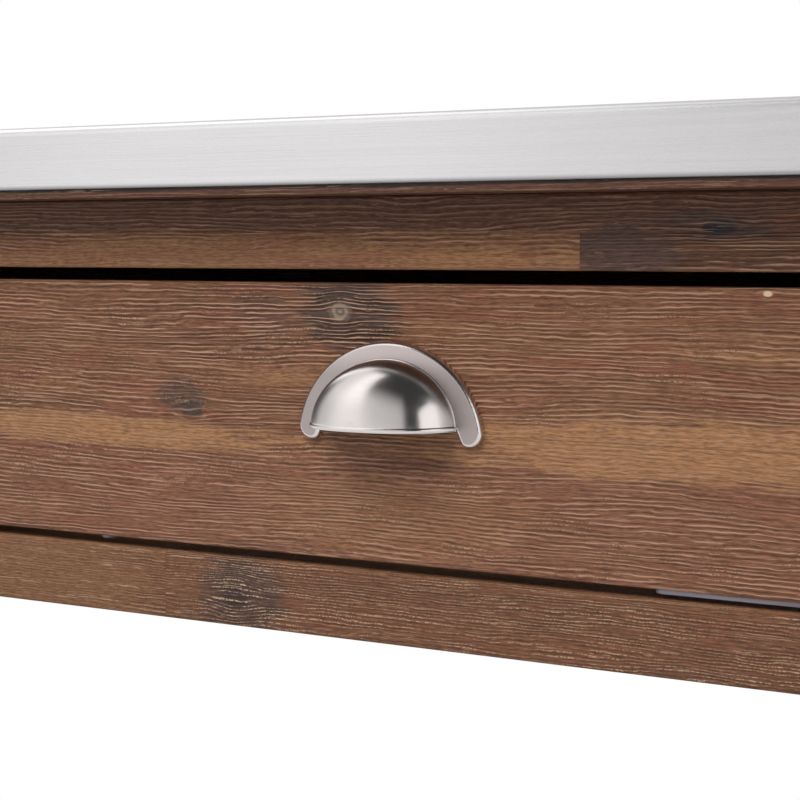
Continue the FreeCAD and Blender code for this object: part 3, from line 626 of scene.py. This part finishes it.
def screw_head(radius, height):
    """A low screw head that looks up from its seat at the origin, with a rounded rim and a round recess."""
    bpy.ops.object.select_all(action="DESELECT")
    bpy.ops.mesh.primitive_cylinder_add(vertices=18, radius=radius, depth=height, location=(0.0, 0.0, height / 2))
    head = bpy.context.active_object
    bpy.ops.object.transform_apply(location=True, rotation=True, scale=True)
    top = height - 0.01 * MM
    edit(head, "EDGE", lambda e: edge_middle(head.data, e).z > top,
         lambda: bpy.ops.mesh.bevel(offset=0.55 * height, segments=3, affect="EDGES"))
    edit(head, "FACE", lambda f: f.center.z > top,
         lambda: bpy.ops.mesh.inset(thickness=0.35 * radius, use_even_offset=True),
         lambda: bpy.ops.mesh.extrude_region_move(TRANSFORM_OT_translate={"value": (0.0, 0.0, -0.7 * height)}))
    bpy.ops.object.shade_smooth_by_angle(angle=SMOOTH_ANGLE)
    return head


def set_in(pattern, name, seats, material, body):
    """Copies a pattern to each seat, a place and the way that it looks, and joins the copies as one piece."""
    copies = []
    for place, way in seats:
        copy = pattern.copy()
        copy.data = pattern.data.copy()
        bpy.context.collection.objects.link(copy)
        copy.location = place
        copy.rotation_mode = "QUATERNION"
        copy.rotation_quaternion = UP.rotation_difference(way)
        copies.append(copy)
    bpy.ops.object.select_all(action="DESELECT")
    for copy in copies:
        copy.select_set(True)
    bpy.context.view_layer.objects.active = copies[0]
    if len(copies) > 1:
        bpy.ops.object.join()
    piece = bpy.context.active_object
    piece.name = name
    bpy.ops.object.transform_apply(location=True, rotation=True, scale=True)
    piece.data.materials.clear()
    piece.data.materials.append(material)
    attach(piece, body)
    return piece


# Operators

class CART_OT_boards(bpy.types.Operator):
    """Give every board of the frame, the shelves and the drawer fronts its brushed wood"""

    bl_idname = "cart.boards"
    bl_label = "Brushed Boards"

    def execute(self, context):
        look = context.scene.cart_wood

        # Places are in millimetres in the cart's own frame, along and across each board's grain
        grey = tuple(look.knot)
        heart = tuple(look.heart)
        plum = (0.070, 0.040, 0.033)
        cream = (0.640, 0.500, 0.330)
        ring = (0.260, 0.195, 0.150)
        tan = (0.285, 0.142, 0.066)
        rosy = (0.180, 0.076, 0.046)
        wide_boards = Staves(64.0, -31.0, 520.0, 90.0, 190.0)
        single = Staves(400.0, -200.0, 4000.0, -2000.0, 0.0)
        slats = Staves(80.0, 40.0, 4000.0, -2000.0, 0.0)
        boards = {
            "top_core": ("x", single), "front_upper_rail": ("x", None), "front_lower_rail": ("x", None),
            "back_apron": ("x", wide_boards), "end_apron_left": ("y", wide_boards),
            "end_apron_right": ("y", wide_boards), "centre_stile": ("z", single), "centre_runner_beam": ("y", single),
            "leg_front_left": ("z", single), "leg_front_right": ("z", single), "leg_back_left": ("z", single),
            "leg_back_right": ("z", single), "mid_shelf_long_rails": ("x", single),
            "low_shelf_long_rails": ("x", single), "mid_shelf_end_rails": ("y", single),
            "low_shelf_end_rails": ("y", single), "mid_shelf_slats": ("y", slats), "low_shelf_slats": ("y", slats),
            "left_drawer_front": ("x", None), "right_drawer_front": ("x", None),
        }
        special = {
            # The top core is stained dark, with a painted shadow along its top edge under the steel's hem
            "top_core": dict(stains_and_shadows=[Mark(0.0, 883.0, 9000.0, 400.0, (0.070, 0.031, 0.021), 0.9, 0.7),
                                     Mark(0.0, 885.4, 9000.0, 4.4, (0.016, 0.012, 0.011), 0.92, 0.9)], box=None),
            "right_drawer_front": dict(
                staves=Staves(66.0, 779.0, 3000.0, -900.0, 0.0),
                knots=[Knot(246.8, 830.3, 15.0, 12.0, ring, 0.85, 0.6), Knot(163.5, 784.0, 16.0, 9.0, grey, 0.95),
                       Knot(448.0, 840.6, 5.2, 2.8, cream, 0.9, 0.1)],
                stains_and_shadows=[Mark(274.0, 742.0, 900.0, 64.0, rosy, 0.6), Mark(250.0, 830.0, 62.0, 38.0, grey, 0.85, -0.5),
                        Mark(205.0, 829.0, 40.0, 24.0, plum, 0.5), Mark(195.0, 822.0, 200.0, 44.0, plum, 0.12, -0.4),
                        Mark(274.0, 742.0, 170.0, 44.0, tan, 0.3), Mark(420.0, 777.0, 330.0, 30.0, tan, 0.85, 0.6),
                        Mark(100.0, 772.0, 270.0, 17.0, tan, 0.85, 0.5), Mark(158.0, 790.0, 34.0, 18.0, grey, 0.6),
                        Mark(215.0, 800.0, 66.0, 9.0, tan, 0.4, 0.8)]),
            "front_upper_rail": dict(
                staves=Staves(17.0, 848.5, 640.0, 365.7, 330.0), dashed=0.0,
                knots=[Knot(427.0, 866.6, 17.0, 7.0, (0.022, 0.022, 0.028), 0.95)],
                stains_and_shadows=[Mark(0.0, 884.0, 3000.0, 42.0, heart, 0.9, 0.6),
                        Mark(190.0, 852.0, 420.0, 28.0, tan, 0.35, 0.8),
                        Mark(384.0, 855.0, 60.0, 30.0, plum, 0.9, 0.8, 365.7),
                        Mark(427.0, 867.0, 62.0, 14.0, grey, 0.6)]),
            "front_lower_rail": dict(
                staves=Staves(400.0, 600.0, 640.0, 147.0, 0.0), fine=0.8, dashed=1.0,
                knots=[Knot(188.0, 699.0, 20.0, 15.0, (0.040, 0.024, 0.022), 0.9)],
                stains_and_shadows=[Mark(0.0, 701.0, 4000.0, 200.0, (0.128, 0.054, 0.028), 0.55, 0.15),
                        Mark(192.0, 699.0, 56.0, 46.0, plum, 0.85, -0.4),
                        Mark(20.0, 702.0, 290.0, 60.0, (0.165, 0.078, 0.038), 0.85, 0.75)]),
            "left_drawer_front": dict(
                staves=Staves(66.0, 779.0, 3000.0, -2000.0, 0.0),
                knots=[Knot(-402.0, 806.0, 18.0, 10.0, grey, 0.9, 0.4)],
                stains_and_shadows=[Mark(-402.0, 806.0, 60.0, 26.0, plum, 0.7), Mark(-180.0, 748.0, 260.0, 22.0, tan, 0.6, 0.5)]),
        }
        for seed, (name, (grain, staves)) in enumerate(boards.items(), 1):
            settings = {"staves": staves, "box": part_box(name), **special.get(name, {})}
            dress(name, brushed_wood("wood_" + name, grain, seed, **settings))
        return {"FINISHED"}


class CART_OT_worktop(bpy.types.Operator):
    """Give the worktop its brushed steel"""

    bl_idname = "cart.worktop"
    bl_label = "Steel Worktop"

    def execute(self, context):
        dress("steel_top", brushed_steel("brushed_steel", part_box("steel_top")[0].z / MM))
        return {"FINISHED"}


class CART_OT_pulls(bpy.types.Operator):
    """Give the pulls, their screws and the towel bar their satin nickel"""

    bl_idname = "cart.pulls"
    bl_label = "Nickel Fittings"

    def execute(self, context):
        nickel = satin_nickel("satin_nickel")
        for name in ("towel_bar", "towel_bar_posts"):
            dress(name, nickel)
        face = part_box("right_drawer_front")[0].y / MM
        rimmed = satin_nickel("satin_nickel_pull", face - FLANGE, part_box("right_drawer_pull")[1].z / MM)
        for side in ("left", "right"):
            dress(f"{side}_drawer_pull", rimmed)
            dress(f"{side}_drawer_pull_screws", nickel)
        return {"FINISHED"}


class CART_OT_plated(bpy.types.Operator):
    """Give the slides, brackets and casters their zinc plate and the wheels their rubber"""

    bl_idname = "cart.plated"
    bl_label = "Plated Steel and Wheels"

    def execute(self, context):
        zinc = zinc_plate("zinc_plate")
        rubber = wheel_rubber("wheel_rubber")
        for name in nodes:
            if name.endswith("_wheel"):
                dress(name, rubber)
            elif name.startswith("caster_") or "_slide_" in name or name == "top_brackets":
                dress(name, zinc)
        return {"FINISHED"}


class CART_OT_drawer_boxes(bpy.types.Operator):
    """Give the drawer boxes and the runner battens their plywood"""

    bl_idname = "cart.drawer_boxes"
    bl_label = "Drawer Boxes"

    def execute(self, context):
        grains = {"left_wall": "y", "right_wall": "y", "back": "x", "bottom": "x"}
        for number, side in enumerate(("left", "right")):
            for turn, (part, grain) in enumerate(grains.items()):
                name = f"{side}_drawer_{part}"
                dress(name, plywood("plywood_" + name, grain, 10 * number + turn))
        dress("runner_battens", plywood("plywood_battens", "y", 31))
        return {"FINISHED"}


class CART_OT_screws(bpy.types.Operator):
    """Add the screws of the slats, the worktop brackets and the towel bar"""

    bl_idname = "cart.screws"
    bl_label = "Screws"

    def execute(self, context):
        look = context.scene.cart_fittings
        zinc = bpy.data.materials["zinc_plate"]

        # One screw at each end of every slat, over the seat in the long rail
        head = screw_head(look.slat_screw, SLAT_SCREW_HEIGHT)
        for shelf in ("mid_shelf", "low_shelf"):
            low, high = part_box(shelf + "_slats")
            seat = (high.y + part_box(shelf + "_long_rails")[1].y - RAIL_THICKNESS) / 2
            first = low.x + SLAT_WIDTH / 2
            step = (high.x - low.x - SLAT_WIDTH) / (SLAT_COUNT - 1)
            seats = [((first + step * i, side * seat, high.z - SLAT_SCREW_SUNK), UP)
                     for i in range(SLAT_COUNT) for side in (-1, 1)]
            set_in(head, shelf + "_screws", seats, zinc, "cart")
        bpy.data.objects.remove(head)

        # Two screws in each bracket: one into the rail or apron, one up into the core
        head = screw_head(look.bracket_screw, BRACKET_SCREW_HEIGHT)
        low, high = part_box("top_brackets")
        arm = high.z - low.z
        middles = [(Vector((x, side * high.y, 0.0)), Vector((0.0, -side, 0.0)))
                   for x in (-BRACKET_PLACE, BRACKET_PLACE) for side in (-1, 1)]
        middles += [(Vector((side * high.x, 0.0, 0.0)), Vector((-side, 0.0, 0.0))) for side in (-1, 1)]
        seats = []
        for middle, inward in middles:
            upright = middle + inward * BRACKET_SHEET
            seats.append((upright + UP * (low.z + UPRIGHT_SHARE * arm), inward))
            level = middle + inward * LEVEL_SHARE * arm
            seats.append((level + UP * (high.z - BRACKET_SHEET), -UP))
        set_in(head, "bracket_screws", seats, zinc, "cart")
        bpy.data.objects.remove(head)

        # One set screw under each eye of the towel bar
        head = screw_head(look.set_screw, SET_SCREW_HEIGHT)
        low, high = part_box("towel_bar")
        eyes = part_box("towel_bar_posts")
        middle = (low + high) / 2
        drop = POST_EYE - SET_SCREW_SUNK
        seats = [((middle.x, side * (eyes[1].y - POST_MIDDLE), middle.z - drop), -UP) for side in (-1, 1)]
        set_in(head, "bar_set_screws", seats, zinc, "cart")
        bpy.data.objects.remove(head)
        return {"FINISHED"}


class CART_OT_glides(bpy.types.Operator):
    """Add the grey strip and the button under the front of each drawer"""

    bl_idname = "cart.glides"
    bl_label = "Drawer Glides"

    def execute(self, context):
        look = context.scene.cart_fittings
        plastic = glide_plastic("glide_plastic")
        height = look.glide_height

        # A strip with round ends and eased edges, below its seat at the origin
        bpy.ops.object.select_all(action="DESELECT")
        bpy.ops.mesh.primitive_cube_add(size=1.0, location=(0.0, 0.0, -height / 2))
        strip = context.active_object
        strip.scale = (look.glide_length, look.glide_width, height)
        bpy.ops.object.transform_apply(location=True, rotation=True, scale=True)
        edit(strip, "EDGE", lambda e: abs(edge_middle(strip.data, e).z + height / 2) < 0.1 * height,
             lambda: bpy.ops.mesh.bevel(offset=0.3 * look.glide_width, segments=6, affect="EDGES"))
        edit(strip, "EDGE", lambda e: edge_middle(strip.data, e).z < -0.99 * height,
             lambda: bpy.ops.mesh.bevel(offset=0.3 * height, segments=2, affect="EDGES"))
        bpy.ops.object.shade_smooth_by_angle(angle=SMOOTH_ANGLE)
        button = screw_head(BUTTON_RADIUS, BUTTON_HEIGHT)
        for side, sign in (("left", -1), ("right", 1)):
            low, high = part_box(f"{side}_drawer_front")
            outer = max(abs(low.x), abs(high.x)) - GLIDE_MARGIN - look.glide_length / 2
            inner = min(abs(low.x), abs(high.x)) + BUTTON_INSET
            strip_seat = (sign * outer, low.y + FRONT_EASE + look.glide_width / 2, low.z)
            button_seat = (sign * inner, low.y + BUTTON_DEPTH, low.z)
            body = f"{side}_drawer"
            set_in(strip, f"{body}_glide", [(strip_seat, UP)], plastic, body)
            set_in(button, f"{body}_button", [(button_seat, -UP)], plastic, body)
        bpy.data.objects.remove(strip)
        bpy.data.objects.remove(button)
        return {"FINISHED"}


class CART_OT_stage(bpy.types.Operator):
    """Lay the floor, set the lights and the world, and place the camera"""

    bl_idname = "cart.stage"
    bl_label = "Stage"

    def execute(self, context):
        look = context.scene.cart_stage
        bpy.ops.object.select_all(action="DESELECT")
        bpy.ops.mesh.primitive_plane_add(size=24.0)
        floor = context.active_object
        floor.name = "floor"
        floor.data.materials.append(pale_floor("pale_floor"))
        aim = Vector((0.2, -0.2, 0.75))
        lamps = (("key_light", look.key, (-1.45, -0.75, 2.5), 0.9, 0.9),
                 ("top_light", look.top, (0.2, -2.2, 2.9), 2.4, 1.6),
                 ("back_light", look.back, (-0.3, 2.4, 2.2), 2.4, 1.6))
        for name, power, place, wide, high in lamps:
            bpy.ops.object.light_add(type="AREA", location=place)
            lamp = context.active_object
            lamp.name = name
            lamp.data.shape = "RECTANGLE"
            lamp.data.size = wide
            lamp.data.size_y = high
            lamp.data.energy = power
            lamp.visible_glossy = False
            lamp.rotation_euler = (aim - Vector(place)).to_track_quat("-Z", "Y").to_euler()
        context.scene.world = studio_world("studio")
        bpy.ops.object.camera_add(location=look.camera_place,
                                  rotation=(math.pi / 2 - look.camera_pitch, 0.0, look.camera_yaw))
        camera = context.active_object
        camera.data.sensor_width = 36.0
        camera.data.lens = look.camera_lens
        camera.data.clip_start = 0.01
        context.scene.camera = camera
        context.scene.view_settings.view_transform = "Standard"
        return {"FINISHED"}


def seen_directly(tree):
    """1 for what the camera, a mirror or glass sees, and 0 for the light that falls on things."""
    path = node(tree, "LightPath").outputs
    return most(tree, most(tree, path["Is Camera Ray"], path["Is Glossy Ray"]), path["Is Transmission Ray"])


def pale_floor(name):
    """A pale floor that keeps the shadow near the cart and turns white further off."""
    look = bpy.context.scene.cart_stage
    made, tree, shader, place = new_material(name)
    grain = noise(tree, place, 40, 40, 3.0)
    darker = tuple(0.98 * part for part in look.floor)
    put(shader.inputs["Base Color"], blend(tree, fade(tree, grain, 0.3, 0.7), darker, look.floor))
    shader.inputs["Roughness"].default_value = 0.9
    far = fade(tree, length(tree, place), 900.0, 1900.0)
    white = node(tree, "Emission", {"Color": (1.0, 1.0, 1.0), "Strength": 1.0})
    mixed = node(tree, "MixShader", {0: product(tree, seen_directly(tree), far)})
    put(mixed.inputs[1], shader.outputs[0])
    put(mixed.inputs[2], white.outputs[0])
    put(tree.nodes["Material Output"].inputs["Surface"], mixed.outputs[0])
    return made


# What metal sees of the room. Angles are degrees from straight ahead of the drawers, and grow to the right.
LEFT_WALL = 0.12
# Where the walls grow lighter or darker: from this angle, to this one, by how much
WALL_STEPS = ((-73, -60, 0.6), (-52, -38, 0.55), (-31, -28, -0.52), (-25, -8, -0.05), (58, 66, -0.5), (66, 82, -0.35))
BACK_WALL = 0.8
# A bright window high on the left, and the left edge of another on the right, which leans with height
WINDOW_WAY = (-0.572, -0.613, 0.545)
WINDOW_LIGHT = 0.3
RIGHT_EDGE = (21, 25)
RIGHT_LEAN = 25
RIGHT_LIGHT = 0.6
# The dim doorway begins here, and the wall between the windows here
DOORWAY_EDGE = (1.5, 4.5)
MIDDLE_EDGE = (-31, -28)


def by_angle(tree, angle, edge, change=1.0):
    """A smooth change from 0 between two angles in degrees."""
    return fade(tree, angle, math.radians(edge[0]), math.radians(edge[1]), 0.0, change)


def mirrored_room(tree):
    """How bright the room is in the direction that a mirror shows: walls with two windows, a light panel over the
    worktop, and a dim doorway and ceiling in front."""
    way = node(tree, "TexCoord").outputs["Generated"]
    x, y, height = split(tree, way)
    turn = calc(tree, "ARCTAN2", x, product(tree, y, -1.0))
    lean = less(tree, turn, fade(tree, height, 0.3, 0.7, 0.0, math.radians(RIGHT_LEAN)))
    right = by_angle(tree, lean, RIGHT_EDGE)
    middle = by_angle(tree, turn, MIDDLE_EDGE)
    behind = fade(tree, y, -0.05, 0.08)

    # Walls and windows
    walls = total(tree, LEFT_WALL, product(tree, right, RIGHT_LIGHT),
                  *(by_angle(tree, turn, (start, end), change) for start, end, change in WALL_STEPS))
    near = node(tree, "VectorMath", {0: way, 1: WINDOW_WAY}, operation="DOT_PRODUCT").outputs["Value"]
    window = product(tree, fade(tree, near, 0.88, 0.97, 0.0, WINDOW_LIGHT), less(tree, 1.0, middle))
    walls = mix(tree, behind, total(tree, walls, window), BACK_WALL)

    # The panel, brighter towards the left
    overhead = product(tree, fade(tree, height, 0.35, 0.6), fade(tree, y, -0.37, -0.13), fade(tree, y, 0.35, 0.15))
    panel = total(tree, fade(tree, x, -0.1, -0.35, 0.06, 0.95), fade(tree, x, -0.43, -0.52, 0.0, 0.95))
    walls = mix(tree, overhead, walls, panel)

    # The doorway, and the ceiling, which comes lowest over the middle wall
    doorway = product(tree, by_angle(tree, turn, DOORWAY_EDGE), less(tree, 1.0, right))
    low_ceiling = product(tree, middle, fade(tree, height, 0.2, 0.62))
    ceiling = mix(tree, right, low_ceiling, fade(tree, height, 0.5, 0.75))
    ceiling = most(tree, ceiling, fade(tree, height, 0.78, 0.9))
    shade = product(tree, most(tree, doorway, ceiling), less(tree, 1.0, most(tree, behind, overhead)))
    return mix(tree, shade, walls, bpy.context.scene.cart_stage.dim)


def studio_world(name):
    """A surround that is white for the camera, a room for what reflects it, and an even light for the rest."""
    made = bpy.data.worlds.new(name)
    made.use_nodes = True
    tree = made.node_tree
    path = node(tree, "LightPath").outputs
    mirrored = most(tree, path["Is Glossy Ray"], path["Is Transmission Ray"])
    strength = mix(tree, mirrored, bpy.context.scene.cart_stage.around, mirrored_room(tree))
    background = tree.nodes["Background"]
    background.inputs["Color"].default_value = (1.0, 1.0, 1.0, 1.0)
    put(background.inputs["Strength"], most(tree, strength, path["Is Camera Ray"]))
    return made


class CART_PT_panel(bpy.types.Panel):
    """The steps that finish the cart, in order"""

    bl_idname = "CART_PT_panel"
    bl_label = "Kitchen Cart"
    bl_space_type = "VIEW_3D"
    bl_region_type = "UI"
    bl_category = "Kitchen Cart"

    def draw(self, context):
        for step in STEPS:
            self.layout.operator(step.bl_idname)


STEPS = (CART_OT_boards, CART_OT_worktop, CART_OT_pulls, CART_OT_plated, CART_OT_drawer_boxes, CART_OT_screws,
         CART_OT_glides, CART_OT_stage)
LOOKS = {"cart_wood": CartWood, "cart_metal": CartMetal, "cart_box": CartBox, "cart_fittings": CartFittings,
         "cart_stage": CartStage}
CLASSES = (*LOOKS.values(), *STEPS, CART_PT_panel)


def register():
    """Adds the classes and the scene's settings."""
    for one in CLASSES:
        bpy.utils.register_class(one)
    for name, group in LOOKS.items():
        setattr(bpy.types.Scene, name, PointerProperty(type=group))


def unregister():
    """Removes the scene's settings and the classes."""
    for name in LOOKS:
        delattr(bpy.types.Scene, name)
    for one in reversed(CLASSES):
        bpy.utils.unregister_class(one)


def main():
    """Finishes the cart."""
    register()
    for step in STEPS:
        group, action = step.bl_idname.split(".")
        getattr(getattr(bpy.ops, group), action)()


if __name__ == "__main__":
    main()
